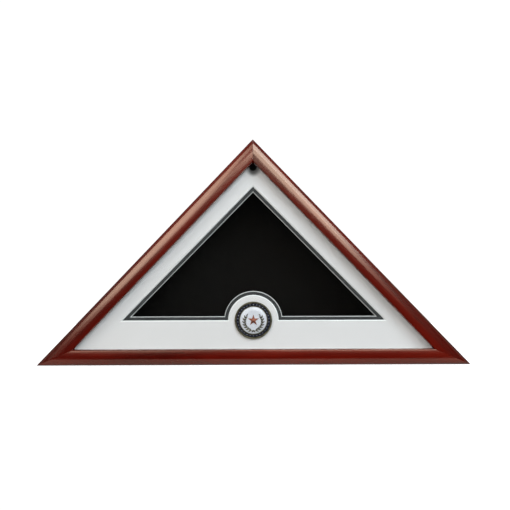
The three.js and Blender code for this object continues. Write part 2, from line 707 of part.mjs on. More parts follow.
// A steel strip raised in the middle like a bridge, with saw teeth along its lower edge.
function sawtoothHanger() {
  const foot = 7;
  const rise = 1.7;
  const strip = 0.8;
  const raised = HANGER_HALF - foot - rise;
  const section = new THREE.Shape([
    point(-HANGER_HALF, 0), point(-HANGER_HALF + foot, 0), point(-raised, rise),
    point(raised, rise), point(HANGER_HALF - foot, 0), point(HANGER_HALF, 0),
    point(HANGER_HALF, strip), point(HANGER_HALF - foot - 0.3, strip),
    point(raised - 0.3, rise + strip), point(-raised + 0.3, rise + strip),
    point(-HANGER_HALF + foot + 0.3, strip), point(-HANGER_HALF, strip),
  ]);
  const body = new THREE.ExtrudeGeometry(section, { depth: HANGER_HEIGHT, bevelEnabled: false });
  const teeth = 9;
  const toothDepth = 1.9;
  const pitch = (2 * raised - 2) / teeth;
  const first = -raised + 1;
  const saw = [point(first, -1)];
  for (let i = 0; i < teeth; i += 1) {
    saw.push(point(first + i * pitch, 0.1));
    saw.push(point(first + (i + 0.5) * pitch, toothDepth));
  }
  saw.push(point(-first, 0.1), point(-first, -1));
  const holes = [-nailX, nailX].map((x) =>
    disc(HANGER_NAIL_RADIUS + GAP, -1, 2, 12).translate(x, 0, HANGER_HEIGHT / 2));
  return cut(body, plate(saw, -1, rise + strip + 1), ...holes);
}
add("sawtooth_hanger", sawtoothHanger(), LOOKS.steel).position.set(0, BOX_BACK, HANGER_Z);

const nailHeadHeight = 0.8;
const nailProfile = [[0, -HANGER_NAIL_LENGTH],
  [HANGER_NAIL_RADIUS, SCREW_TIP - HANGER_NAIL_LENGTH], [HANGER_NAIL_RADIUS, 0],
  [HANGER_NAIL_HEAD, 0], [HANGER_NAIL_HEAD, nailHeadHeight - 0.3],
  [HANGER_NAIL_HEAD - 0.6, nailHeadHeight], [0, nailHeadHeight]];
for (const [hand, x] of [["left", -nailX], ["right", nailX]]) {
  add(`hanger_nail_${hand}`, turned(nailProfile, 14), LOOKS.steel)
    .position.set(x, BOX_BACK + 0.9, nailZ);
}

const bumperProfile = [[0, 0], [BUMPER_RADIUS, 0], [BUMPER_RADIUS, BUMPER_DEPTH - 1.6],
  [BUMPER_RADIUS - 0.5, BUMPER_DEPTH - 0.5], [BUMPER_RADIUS - 1.6, BUMPER_DEPTH],
  [0, BUMPER_DEPTH]];
for (const [hand, x] of [["left", -BUMPER_X], ["right", BUMPER_X]]) {
  add(`wall_bumper_${hand}`, turned(bumperProfile, 24), LOOKS.rubber)
    .position.set(x, BOX_BACK, DOOR_REBATE / 2);
}

export default flagCase;
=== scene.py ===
import math

import bmesh
import bpy
from mathutils import Matrix, Vector


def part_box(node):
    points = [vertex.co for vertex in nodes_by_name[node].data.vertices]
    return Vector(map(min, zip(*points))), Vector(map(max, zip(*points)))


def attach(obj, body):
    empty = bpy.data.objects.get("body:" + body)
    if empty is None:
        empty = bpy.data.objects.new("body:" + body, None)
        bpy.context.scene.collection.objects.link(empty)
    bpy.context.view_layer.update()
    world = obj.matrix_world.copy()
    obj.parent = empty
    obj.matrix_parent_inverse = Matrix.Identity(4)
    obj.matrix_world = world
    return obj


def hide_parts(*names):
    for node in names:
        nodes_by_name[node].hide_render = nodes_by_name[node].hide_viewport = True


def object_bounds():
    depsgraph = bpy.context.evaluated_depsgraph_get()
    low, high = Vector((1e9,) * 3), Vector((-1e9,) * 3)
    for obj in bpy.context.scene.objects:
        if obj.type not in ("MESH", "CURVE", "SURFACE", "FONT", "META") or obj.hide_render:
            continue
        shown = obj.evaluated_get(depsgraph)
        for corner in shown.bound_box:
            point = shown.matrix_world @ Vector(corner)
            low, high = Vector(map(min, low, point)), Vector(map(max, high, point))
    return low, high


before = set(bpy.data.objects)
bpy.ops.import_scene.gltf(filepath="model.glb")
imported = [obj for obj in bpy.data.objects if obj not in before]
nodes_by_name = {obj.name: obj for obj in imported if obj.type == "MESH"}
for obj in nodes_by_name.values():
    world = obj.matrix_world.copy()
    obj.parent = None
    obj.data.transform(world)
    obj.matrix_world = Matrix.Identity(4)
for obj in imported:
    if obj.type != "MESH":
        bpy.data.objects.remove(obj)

# The folded flag display case, dressed for rendering. Metres, in the frame's own axes: +X right,
# +Z up, the glazed front faces -Y. Outlines are (x, z) pairs and depths are y values.

CAD_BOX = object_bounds()
MM = 0.001

# Driving dimensions of the outline, the same as the frame's
BASE_HALF = 330 * MM
BASE_ANGLE = math.radians(46.1)
CASE_HEIGHT = BASE_HALF * math.tan(BASE_ANGLE)
FRONT = CAD_BOX[0][1]

# Each side's first and last corner, one way round the outline, and the turn about Y that lays the
# grain along it
SIDES = {
    "bottom": ("left", "right"),
    "right": ("right", "apex"),
    "left": ("apex", "left"),
}
GRAIN = {"bottom": 0.0, "right": math.pi - BASE_ANGLE, "left": BASE_ANGLE}

# The moulding's section, as insets from its outer edge and drops behind its highest line
RAIL_WIDTH = 24.5 * MM
RAIL_DEPTH = 19 * MM
CROWN_INSET = 14 * MM
EDGE_DROP = 7.5 * MM
LAND_INSET = 22.0 * MM
LAND_DROP = 0.4 * MM
SIGHT_DROP = 6.6 * MM
LIP_BACK = 10 * MM
LIP_CHAMFER = 0.3 * MM
REBATE_INSET = 16 * MM
BACK_CHAMFER = 1.4 * MM
CROWN_STEPS = 26
LAND_STEPS = 6
SIGHT_STEPS = 14

# The gap on each side of a mitre, and the size of the eased edge along it
MITRE_GAP = 0.12 * MM
MITRE_EASE = 0.16 * MM

# Painted shade on the top mat round its notch, where the corner's shadow falls: the patch's middle
# (x, z), the reach within which it is darkest and the reach where it has faded out
NOTCH_SHADE = (0.8 * MM, 297.5 * MM, 4.5 * MM, 13.0 * MM)

# The medallion's sunk ring, from its rim in to a raised line whose middle is at RING_INNER. The
# enamels on both sides of that line start GLAZE_GAP from its middle.
RING_OUTER = 26.4 * MM
RING_INNER = 21.1 * MM
GLAZE_GAP = 0.7 * MM

# The milling of the medallion's rim, and the dots on its enamel ring
RIM_RIDGES = 120
RIDGE_HEIGHT = 0.14 * MM
DOTS = 30
DOT_RADIUS = 0.62 * MM
DOT_HEIGHT = 0.4 * MM

# The laurel's two sprays: the radius of their stem, how far round from the lowest point they start,
# how far they then sweep, and how far a leaf leans from the stem (angles in radians)
LAUREL_RADIUS = 13.8 * MM
SPRAY_START = 0.26
SPRAY_SWEEP = 1.98
LEAF_LEAN = 0.62
LEAF_PAIRS = 7

# The leaves along a spray, at its tip and at the tie, and their section, as (place across the half
# width, share of the full height)
LEAF = dict(length=5.4 * MM, width=2.0 * MM, height=0.75 * MM)
TIP_LEAF = dict(length=4.6 * MM, width=1.8 * MM, height=0.75 * MM)
TIE_LEAF = dict(length=4.2 * MM, width=1.7 * MM, height=0.8 * MM)
LEAF_SECTION = ((-1, 0.0), (-0.45, 1.0), (0, 0.72), (0.45, 1.0), (1, 0.0))

# The radius of a five-pointed star's notches as a share of its points' radius
STAR_WAIST = 0.382

# Edges flatter than this many degrees are shaded smooth, and sharper ones can be eased
SMOOTH_ANGLE = 35

scene = bpy.context.scene


# ---- camera, light and floor ---------------------------------------------------------------------

# The camera looks along +Y with a slight roll, and its picture is VIEW_WIDTH wide at the case's
# front. SENSOR is in millimetres, as Blender's cameras want it.
CAMERA_DISTANCE = 2.2
VIEW_WIDTH = 0.7727
CAMERA_X = 0.0028
CAMERA_Z = 0.1670
CAMERA_ROLL = math.radians(0.21)
SENSOR = 36.0

# The strength of the white backdrop that the camera sees, and of the faint light that the world
# gives to everything else
BACKDROP_STRENGTH = 1.05
FILL_STRENGTH = 0.01

# How far the floor reaches to each side, behind and ahead of the origin, and how far it lies below
# the case
FLOOR_ACROSS = 1.3
FLOOR_BEHIND = 1.3
FLOOR_AHEAD = 0.077
FLOOR_GAP = 0.2 * MM

# The place on the case at which every lamp is aimed
LAMP_AIM = Vector((0, 0, 150 * MM))

# Softboxes: azimuth in degrees (0 is straight in front, 90 to the right), elevation in degrees,
# distance, size and radiance. Those in SIDE_BOXES stand on the right and are mirrored to the left.
OVERHEAD_BOX = (0, 58, 2.0, (1.8, 1.0), 1.2)
SIDE_BOXES = {
    "low": (38, -22, 1.9, (1.0, 0.7), 1.5),
    "wing": (80, 35, 2.0, (1.0, 1.2), 0.4),
    "rear": (140, 62, 2.2, (1.2, 1.2), 1.0),
    "back": (155, 10, 2.2, (1.0, 0.9), 2.2),
}

# The opening's triangle as mirrored on an upright plane this far in front, where no lamp may hang:
# its top corner, and the run and the rise of its sloping sides
MIRROR_DISTANCE = 1.86
MIRROR_APEX = Vector((0, 0.41))
MIRROR_RUN = 0.719
MIRROR_RISE = 0.696

# Lamps beside the mirrored triangle: the side (-1 left, 1 right), how far out from its sloping side
# and how far up along it their middle is, their size in those two directions, in metres on that
# plane, and their radiance and colour. Each is then scaled to stand PANEL_DISTANCE from LAMP_AIM.
PANEL_DISTANCE = 1.9
PANELS = {
    "near_left": (-1, 0.60, -0.34, 0.70, 0.54, 4.9, (1.0, 0.98, 0.96)),
    "far_left": (-1, 1.60, -0.38, 1.20, 0.88, 5.1, (1.0, 0.97, 0.94)),
    "edge_left": (-1, 0.14, -0.24, 0.22, 0.32, 2.6, (1.0, 0.98, 0.96)),
    "edge_right": (1, 0.10, 0.06, 0.16, 0.48, 7.0, (1.0, 1.0, 1.0)),
    "near_right": (1, 0.56, 0.01, 0.78, 0.88, 5.7, (0.98, 1.0, 1.0)),
    "far_right": (1, 1.66, 0.07, 1.40, 1.07, 8.3, (0.88, 1.0, 1.10)),
}


def make_camera():
    data = bpy.data.cameras.new("camera")
    data.sensor_width = SENSOR
    data.lens = SENSOR * CAMERA_DISTANCE / VIEW_WIDTH
    camera = bpy.data.objects.new("camera", data)
    camera.location = (CAMERA_X, FRONT - CAMERA_DISTANCE, CAMERA_Z)
    camera.rotation_euler = (math.radians(90), CAMERA_ROLL, 0)
    scene.collection.objects.link(camera)
    scene.camera = camera


def area_lamp(name, way, distance, turn, size, radiance, colour=(1, 1, 1)):
    """A rectangular lamp seen from LAMP_AIM in the direction way, with the rotation matrix turn."""
    data = bpy.data.lights.new(name, "AREA")
    data.shape = "RECTANGLE"
    data.size, data.size_y = size
    data.energy = radiance * math.pi * size[0] * size[1]
    data.color = colour
    light = bpy.data.objects.new(name, data)
    light.matrix_world = Matrix.Translation(LAMP_AIM + way * distance) @ turn.to_4x4()
    scene.collection.objects.link(light)


def softbox(name, azimuth, elevation, distance, size, radiance):
    """A lamp placed by its angles as seen from LAMP_AIM, and aimed at it."""
    turn, rise = math.radians(azimuth), math.radians(elevation)
    way = Vector((math.cos(rise) * math.sin(turn), -math.cos(rise) * math.cos(turn),
                  math.sin(rise)))
    facing = (-way).to_track_quat("-Z", "Y").to_matrix()
    area_lamp(name, way, distance, facing, size, radiance)


def panel(name, sign, out, up, span_out, span_up, radiance, colour):
    """A lamp beside the mirrored triangle, turned along its sloping side and aimed at the case."""
    outward = Vector((sign * MIRROR_RISE, 0, MIRROR_RUN))
    upward = Vector((-sign * MIRROR_RUN, 0, MIRROR_RISE))
    apex = Vector((MIRROR_APEX.x, FRONT - MIRROR_DISTANCE, MIRROR_APEX.y))
    reach = apex + outward * out + upward * up - LAMP_AIM
    scale = PANEL_DISTANCE / reach.length
    way = reach.normalized()
    across = (upward - way * upward.dot(way)).normalized()
    turn = Matrix((across, way.cross(across), way)).transposed()
    area_lamp(name, way, PANEL_DISTANCE, turn, (span_up * scale, span_out * scale), radiance, colour)


def make_lights():
    softbox("overhead", *OVERHEAD_BOX)
    for name, values in PANELS.items():
        panel(name, *values)
    for hand, sign in (("left", -1), ("right", 1)):
        for name, (azimuth, *rest) in SIDE_BOXES.items():
            softbox(f"{name}_{hand}", sign * azimuth, *rest)


def make_world():
    """White for the camera, and nearly dark for everything else, so that the lamps do the lighting."""
    world = bpy.data.worlds.new("studio")
    world.use_nodes = True
    tree = world.node_tree
    tree.nodes.clear()
    path = tree.nodes.new("ShaderNodeLightPath")
    mix = tree.nodes.new("ShaderNodeMixShader")
    out = tree.nodes.new("ShaderNodeOutputWorld")
    tree.links.new(path.outputs["Is Camera Ray"], mix.inputs[0])
    for slot, strength in ((1, FILL_STRENGTH), (2, BACKDROP_STRENGTH)):
        background = tree.nodes.new("ShaderNodeBackground")
        background.inputs["Color"].default_value = (1, 1, 1, 1)
        background.inputs["Strength"].default_value = strength
        tree.links.new(background.outputs[0], mix.inputs[slot])
    tree.links.new(mix.outputs[0], out.inputs["Surface"])
    scene.world = world
    scene.view_settings.view_transform = "Standard"


def make_floor():
    mesh = bpy.data.meshes.new("floor")
    corners = [(-FLOOR_ACROSS, -FLOOR_AHEAD, 0), (FLOOR_ACROSS, -FLOOR_AHEAD, 0),
               (FLOOR_ACROSS, FLOOR_BEHIND, 0), (-FLOOR_ACROSS, FLOOR_BEHIND, 0)]
    mesh.from_pydata(corners, [], [(0, 1, 2, 3)])
    floor = bpy.data.objects.new("floor", mesh)
    floor.location.z = -FLOOR_GAP
    mesh.materials.append(floor_look())
    scene.collection.objects.link(floor)


# ---- materials -----------------------------------------------------------------------------------

class Look:
    """A material with one Principled shader, and short ways to add the nodes that feed it."""

    def __init__(self, name, **values):
        self.material = bpy.data.materials.new(name)
        self.material.use_nodes = True
        self.tree = self.material.node_tree
        self.shader = self.tree.nodes["Principled BSDF"]
        for key, value in values.items():
            self.shader.inputs[key.replace("_", " ")].default_value = value

    def node(self, kind, inputs=None, **settings):
        made = self.tree.nodes.new("ShaderNode" + kind)
        for key, value in settings.items():
            setattr(made, key, value)
        for key, value in (inputs or {}).items():
            if isinstance(value, bpy.types.NodeSocket):
                self.tree.links.new(value, made.inputs[key])
            else:
                made.inputs[key].default_value = value
        return made

    def feed(self, name, socket):
        self.tree.links.new(socket, self.shader.inputs[name])

    def place(self, scale=(1, 1, 1), turn=0.0):
        """Object coordinates turned about Y by turn, then scaled."""
        source = self.node("TexCoord").outputs["Object"]
        if turn:
            source = self.node("Mapping", {"Vector": source, "Rotation": (0, turn, 0)}).outputs[0]
        return self.node("Mapping", {"Vector": source, "Scale": scale}).outputs[0]

    def place_from(self, x, z):
        """Object coordinates measured from the place (x, z)."""
        inputs = {0: self.place(), 1: (x, 0, z)}
        return self.node("VectorMath", inputs, operation="SUBTRACT").outputs[0]

    def length(self, vector):
        return self.node("VectorMath", {0: vector}, operation="LENGTH").outputs["Value"]

    def noise(self, place, scale, detail, roughness, distortion=0.0):
        inputs = {"Vector": place, "Scale": scale, "Detail": detail,
                  "Roughness": roughness, "Distortion": distortion}
        return self.node("TexNoise", inputs).outputs["Fac"]

    def ramp(self, factor, stops):
        """A colour ramp; each stop is (position, colour), where a colour may be one number."""
        made = self.node("ValToRGB", {"Fac": factor})
        elements = made.color_ramp.elements
        for i, (position, colour) in enumerate(stops):
            element = elements[i] if i < 2 else elements.new(position)
            element.position = position
            rgb = colour if isinstance(colour, tuple) else (colour,) * 3
            element.color = (*rgb, 1)
        return made.outputs["Color"]

    def spread(self, value, low, high, start=0.0, end=1.0, **settings):
        """The stretch from start to end of a value, spread from low to high."""
        inputs = {"Value": value, "From Min": start, "From Max": end, "To Min": low, "To Max": high}
        return self.node("MapRange", inputs, **settings).outputs[0]

    def mix(self, factor, first, second, blend="MIX"):
        """A blend of two colours, each a socket or an (r, g, b)."""
        first, second = ((*c, 1) if isinstance(c, tuple) else c for c in (first, second))
        inputs = {0: factor, 6: first, 7: second}
        return self.node("Mix", inputs, data_type="RGBA", blend_type=blend).outputs[2]

    def toned(self, colour, tone):
        return self.mix(1.0, colour, tone, "MULTIPLY")

    def math(self, operation, first, second=0.0):
        return self.node("Math", {0: first, 1: second}, operation=operation).outputs[0]

    def bump(self, height, strength, distance):
        inputs = {"Height": height, "Strength": strength, "Distance": distance}
        self.feed("Normal", self.node("Bump", inputs).outputs["Normal"])


# The stain of the rails and of the boards, and the tint of their lacquer's shine
CHERRY = dict(dark=(0.050, 0.0009, 0.0002), base=(0.092, 0.0021, 0.0004),
              light=(0.140, 0.0055, 0.0012))
STAIN = dict(dark=(0.030, 0.0042, 0.0022), base=(0.060, 0.0085, 0.0038),
             light=(0.100, 0.018, 0.008))
LACQUER_TINT = (1.0, 0.73, 0.55, 1)


def wood(name, turn, dark, base, light, roughness, gloss, pores):
    """Stained and lacquered hardwood with its grain along the direction that turn gives."""
    look = Look(name, Specular_IOR_Level=gloss, Specular_Tint=LACQUER_TINT)
    streaks = look.noise(look.place((2.2, 26, 26), turn), 1.6, 6, 0.62, 0.5)
    bands = look.noise(look.place((0.9, 9, 9), turn), 2.4, 3, 0.5, 0.8)
    fine = look.noise(look.place((30, 900, 900), turn), 1.0, 3, 0.6)
    colour = look.ramp(streaks, [(0.3, dark), (0.5, base), (0.72, light)])
    colour = look.toned(colour, look.ramp(bands, [(0.3, 0.72), (0.7, 1.12)]))
    pore = look.ramp(fine, [(0.36, 1.0), (0.46, 0.0)])
    pore_share = look.math("MULTIPLY", pore, pores)
    pore_colour = tuple(0.45 * c for c in dark)
    look.feed("Base Color", look.mix(pore_share, colour, pore_colour))
    look.feed("Roughness", look.spread(streaks, roughness * 0.85, roughness * 1.2))
    height = look.math("SUBTRACT", look.math("MULTIPLY", streaks, 0.4), pore_share)
    look.bump(height, 0.12, 0.15 * MM)
    return look.material


def black_wood():
    look = Look("black_wood", Roughness=0.62)
    grain = look.noise(look.place((6, 60, 60)), 3, 5, 0.6, 0.3)
    look.feed("Base Color", look.ramp(grain, [(0.3, 0.008), (0.7, 0.020)]))
    look.bump(grain, 0.3, 0.2 * MM)
    return look.material


def door_board():
    """Thin veneered board, sealed but not polished."""
    look = Look("door_board", Coat_Weight=0.15, Coat_Roughness=0.35)
    figure = look.noise(look.place((1.4, 18, 18)), 2.1, 5, 0.6, 1.1)
    fibres = look.noise(look.place((24, 620, 620)), 1.0, 2, 0.6)
    colour = look.ramp(figure, [(0.30, (0.130, 0.048, 0.020)), (0.48, (0.240, 0.108, 0.050)),
                                (0.56, (0.205, 0.088, 0.040)), (0.75, (0.330, 0.175, 0.090))])
    look.feed("Base Color", look.toned(colour, look.ramp(fibres, [(0.34, 0.66), (0.58, 1.06)])))
    look.feed("Roughness", look.spread(figure, 0.42, 0.6))
    look.bump(fibres, 0.22, 0.12 * MM)
    return look.material


def clear_glass():
    """Glass for the camera and for mirrors, and an open way for lamps."""
    look = Look("clear_glass", Transmission_Weight=1.0, Roughness=0.0, IOR=1.5,
                Base_Color=(0.985, 0.995, 0.99, 1))
    path = look.node("LightPath")
    lamp = look.math("MAXIMUM", path.outputs["Is Shadow Ray"], path.outputs["Is Diffuse Ray"])
    through = look.node("BsdfTransparent", {"Color": (0.97, 0.98, 0.975, 1)})
    mix = look.node("MixShader", {0: lamp, 1: look.shader.outputs[0], 2: through.outputs[0]})
    output = look.tree.nodes["Material Output"]
    look.tree.links.new(mix.outputs[0], output.inputs["Surface"])
    return look.material


def mat_board(name, face, core, shade=None):
    """Paper-faced board: the face colour where it lies flat, the core's where it is cut.

    A shade is a place (x, z) with a dark reach and a clear reach: painted shade makes the board
    darker close to it.
    """
    look = Look(name, Roughness=0.88)
    normal = look.node("NewGeometry").outputs["True Normal"]
    depthward = look.node("SeparateXYZ", {0: normal}).outputs["Y"]
    flat = look.math("GREATER_THAN", look.math("ABSOLUTE", depthward), 0.9)
    fibre = look.noise(look.place(), 900, 4, 0.7)
    cloud = look.noise(look.place(), 14, 3, 0.5)
    colour = look.mix(flat, core, face)
    if shade:
        # Painted shade: the colour darkens towards the place, standing in for a shadow that falls
        # there
        x, z, dark_reach, clear_reach = shade
        flattened = look.node("VectorMath", {0: look.place_from(x, z), 1: (1, 0, 1)},
                              operation="MULTIPLY").outputs[0]
        painted_shade = look.spread(look.length(flattened), 0.14, 1.0, dark_reach, clear_reach,
                                 interpolation_type="SMOOTHSTEP")
        colour = look.toned(colour, painted_shade)
    colour = look.toned(colour, look.ramp(fibre, [(0.3, 0.955), (0.7, 1.02)]))
    look.feed("Base Color", look.toned(colour, look.ramp(cloud, [(0.3, 0.975), (0.7, 1.01)])))
    look.bump(fibre, 0.25, 0.06 * MM)
    return look.material


def flock():
    """Short black pile, brushed a little unevenly."""
    look = Look("black_flock", Roughness=0.95, Sheen_Weight=0.03, Sheen_Roughness=0.4,
                Specular_IOR_Level=0.15, Sheen_Tint=(0.6, 0.58, 0.55, 1))
    nap = look.noise(look.place(), 1500, 3, 0.7)
    brushed = look.noise(look.place((1, 1, 2)), 22, 3, 0.55)
    colour = look.ramp(nap, [(0.3, (0.0006, 0.0004, 0.0002)), (0.7, (0.0024, 0.0016, 0.0007))])
    look.feed("Base Color", look.toned(colour, look.ramp(brushed, [(0.3, 0.75), (0.7, 1.2)])))
    look.bump(nap, 0.6, 0.25 * MM)
    return look.material


def foam():
    look = Look("white_foam", Roughness=0.8)
    cells = look.node("TexVoronoi", {"Vector": look.place(), "Scale": 1400}).outputs["Distance"]
    look.feed("Base Color", look.ramp(cells, [(0.0, 0.62), (0.6, 0.80)]))
    look.bump(cells, 0.4, 0.15 * MM)
    return look.material


def metal(name, dark, light, roughness, brushed=(1, 1, 1), scale=220):
    """Plated or cast metal: mottled between two tones, with fine scratches."""
    look = Look(name, Metallic=1.0)
    mottle = look.noise(look.place(), scale, 4, 0.6)
    scratch = look.noise(look.place(brushed), 700, 3, 0.6)
    look.feed("Base Color", look.ramp(mottle, [(0.3, dark), (0.7, light)]))
    look.feed("Roughness", look.math("ADD", look.math("MULTIPLY", scratch, 0.11), roughness))
    look.bump(scratch, 0.075, 0.05 * MM)
    return look.material


def navy_enamel():
    look = Look("navy_enamel", Roughness=0.22, Coat_Weight=0.8, Coat_Roughness=0.06)
    grain = look.noise(look.place(), 900, 3, 0.7)
    look.feed("Base Color", look.ramp(grain, [(0.35, (0.003, 0.003, 0.008)),
                                              (0.75, (0.006, 0.007, 0.018))]))
    swell = look.noise(look.place(), 90, 2, 0.5)
    look.bump(swell, 0.15, 0.1 * MM)
    return look.material


def rayed_enamel():
    """Pale enamel over a field engraved with fine rays from its middle."""
    look = Look("pale_enamel", Roughness=0.3, Coat_Weight=0.7, Coat_Roughness=0.08)
    centre = middle("medallion_field")[0]
    parts = look.node("SeparateXYZ", {0: look.place_from(centre.x, centre.y)})
    angle = look.math("ARCTAN2", parts.outputs["Z"], parts.outputs["X"])
    rays = look.math("SINE", look.math("MULTIPLY", angle, 64.0))
    grain = look.noise(look.place(), 800, 3, 0.7)
    colour = look.ramp(grain, [(0.3, (0.60, 0.60, 0.655)), (0.7, (0.72, 0.72, 0.755))])
    look.feed("Base Color", look.toned(colour, look.spread(rays, 0.80, 1.04, -1.0, 1.0)))
    look.bump(rays, 0.35, 0.12 * MM)
    return look.material


def rubber():
    look = Look("black_rubber", Roughness=0.72)
    skin = look.noise(look.place(), 1200, 3, 0.7)
    look.feed("Base Color", look.ramp(skin, [(0.3, 0.010), (0.7, 0.022)]))
    look.bump(skin, 0.3, 0.08 * MM)
    return look.material


def floor_look():
    """Pale floor that also glows for the camera, up to white away from the case."""
    look = Look("floor", Roughness=0.9, Emission_Color=(1, 1, 1, 1))
    tone = look.noise(look.place(), 3, 2, 0.5)
    look.feed("Base Color", look.ramp(tone, [(0.3, 0.80), (0.7, 0.82)]))
    glow = look.spread(look.length(look.place()), 0.62, 1.0, 0.4, 1.0)
    seen = look.node("LightPath").outputs["Is Camera Ray"]
    look.feed("Emission Strength", look.math("MULTIPLY", glow, seen))
    return look.material


# ---- mesh helpers --------------------------------------------------------------------------------

def corner(name, inset):
    """A corner of the outline after all three sides move in by inset."""
    if name == "apex":
        return Vector((0, CASE_HEIGHT - inset / math.cos(BASE_ANGLE)))
    reach = BASE_HALF - inset / math.tan(BASE_ANGLE / 2)
    return Vector((-reach if name == "left" else reach, inset))


def middle(node_name):
    """A node's middle as (x, z), its half width, and its front and back depths."""
    low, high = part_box(node_name)
    centre = Vector(((low[0] + high[0]) / 2, (low[2] + high[2]) / 2))
    return centre, (high[0] - low[0]) / 2, low[1], high[1]


def spoke(turn):
    """The direction at an angle from +X towards +Z, as (x, z)."""
    return Vector((math.cos(turn), math.sin(turn)))


def at_depth(place, depth):
    return Vector((place.x, depth, place.y))


def new_piece(name, mesh, material, body="case", sharp=SMOOTH_ANGLE):
    """A piece of its own, shaded smooth across edges flatter than sharp degrees."""
    piece = bpy.data.objects.new(name, mesh)
    scene.collection.objects.link(piece)
    mesh.materials.append(material)
    mesh.polygons.foreach_set("use_smooth", [True] * len(mesh.polygons))
    mesh.set_sharp_from_angle(angle=math.radians(sharp))
    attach(piece, body)
    return piece


def finished(name, work):
    """The mesh that a bmesh makes, with its faces turned outwards."""
    mesh = bpy.data.meshes.new(name)
    bmesh.ops.recalc_face_normals(work, faces=work.faces)
    work.to_mesh(mesh)
    work.free()
    return mesh


def tube_mesh(name, rings):
    """A mesh through rings of points, with flat caps."""
    work = bmesh.new()
    loops = [[work.verts.new(point) for point in ring] for ring in rings]
    count = len(rings[0])
    for first, second in zip(loops, loops[1:]):
        for i in range(count):
            j = (i + 1) % count
            work.faces.new((first[i], second[i], second[j], first[j]))
    work.faces.new(loops[0])
    work.faces.new(loops[-1])
    return finished(name, work)


def lathe_mesh(name, profile, centre, segments):
    """A solid turned about the depth axis; the profile lists (radius, depth).

    It runs from axis to axis, or ends where it started, and the doubled ring is then joined.
    """
    work = bmesh.new()
    rings = []
    for radius, depth in profile:
        turns = [2 * math.pi * i / segments for i in range(segments)] if radius else [0]
        rings.append([work.verts.new(at_depth(centre + spoke(turn) * radius, depth))
                      for turn in turns])
    for first, second in zip(rings, rings[1:]):
        for i in range(segments):
            j = (i + 1) % segments
            loop = [first[i % len(first)], second[i % len(second)],
                    second[j % len(second)], first[j % len(first)]]
            corners = list(dict.fromkeys(loop))
            if len(corners) > 2:
                work.faces.new(corners)
    bmesh.ops.remove_doubles(work, verts=work.verts, dist=1e-7)
    return finished(name, work)


def smooth_group():
    """A modifier that shades smooth across every edge flatter than SMOOTH_ANGLE."""
    name = "smooth_by_angle"
    if name in bpy.data.node_groups:
        return bpy.data.node_groups[name]
    group = bpy.data.node_groups.new(name, "GeometryNodeTree")
    group.interface.new_socket("Geometry", in_out="INPUT", socket_type="NodeSocketGeometry")
    group.interface.new_socket("Geometry", in_out="OUTPUT", socket_type="NodeSocketGeometry")
    start = group.nodes.new("NodeGroupInput")
    end = group.nodes.new("NodeGroupOutput")
    faces = group.nodes.new("GeometryNodeSetShadeSmooth")
    edges = group.nodes.new("GeometryNodeSetShadeSmooth")
    faces.domain = "FACE"
    edges.domain = "EDGE"
    edge_angle = group.nodes.new("GeometryNodeInputMeshEdgeAngle")
    flat = group.nodes.new("FunctionNodeCompare")
    flat.data_type = "FLOAT"
    flat.operation = "LESS_EQUAL"
    flat.inputs[1].default_value = math.radians(SMOOTH_ANGLE)
    group.links.new(edge_angle.outputs["Unsigned Angle"], flat.inputs[0])
    group.links.new(start.outputs[0], faces.inputs["Geometry"])
    group.links.new(faces.outputs[0], edges.inputs["Geometry"])
    group.links.new(flat.outputs[0], edges.inputs["Shade Smooth"])
    group.links.new(edges.outputs[0], end.inputs[0])
    return group


def soften(node_name, material, width):
    """Gives a frame node its material, smooth shading by angle and, with a width, eased edges."""
    piece = nodes_by_name[node_name]
    piece.data.materials.clear()
    piece.data.materials.append(material)
    smooth = piece.modifiers.new("smooth", "NODES")
    smooth.node_group = smooth_group()
    if width:
        bevel = piece.modifiers.new("ease", "BEVEL")
        bevel.width = width
        bevel.segments = 2
        bevel.limit_method = "ANGLE"
        bevel.angle_limit = math.radians(SMOOTH_ANGLE)
        bevel.harden_normals = True


# ---- the moulding --------------------------------------------------------------------------------

def moulding_section():
    """The moulding's outline as (inset, depth) points, with fine curves and eased edges."""
    section = [(BACK_CHAMFER, RAIL_DEPTH), (0, RAIL_DEPTH - BACK_CHAMFER)]
    for i in range(CROWN_STEPS + 1):
        turn = math.pi / 2 * i / CROWN_STEPS
        section.append((CROWN_INSET * (1 - math.cos(turn)), EDGE_DROP * (1 - math.sin(turn))))
    for i in range(1, LAND_STEPS + 1):
        share = i / LAND_STEPS
        inset = CROWN_INSET + (LAND_INSET - CROWN_INSET) * share
        section.append((inset, LAND_DROP * share ** 2))
    for i in range(1, SIGHT_STEPS + 1):
        turn = math.pi / 2 * i / SIGHT_STEPS
        inset = LAND_INSET + (RAIL_WIDTH - LAND_INSET) * math.sin(turn)
        section.append((inset, LAND_DROP + (SIGHT_DROP - LAND_DROP) * (1 - math.cos(turn))))
    section.append((RAIL_WIDTH, LIP_BACK - LIP_CHAMFER))
    section.append((RAIL_WIDTH - LIP_CHAMFER, LIP_BACK))
    section.append((REBATE_INSET, LIP_BACK))
    section.append((REBATE_INSET, RAIL_DEPTH))
    return section


def shrunk(section, by):
    """The section moved inwards by a little, for the eased line along a mitre."""
    count = len(section)
    moved = []
    for i, here in enumerate(section):
        before, after = Vector(section[i - 1]), Vector(section[(i + 1) % count])
        way = (after - before).normalized()
        moved.append((here[0] - way.y * by, here[1] + way.x * by))
    return moved


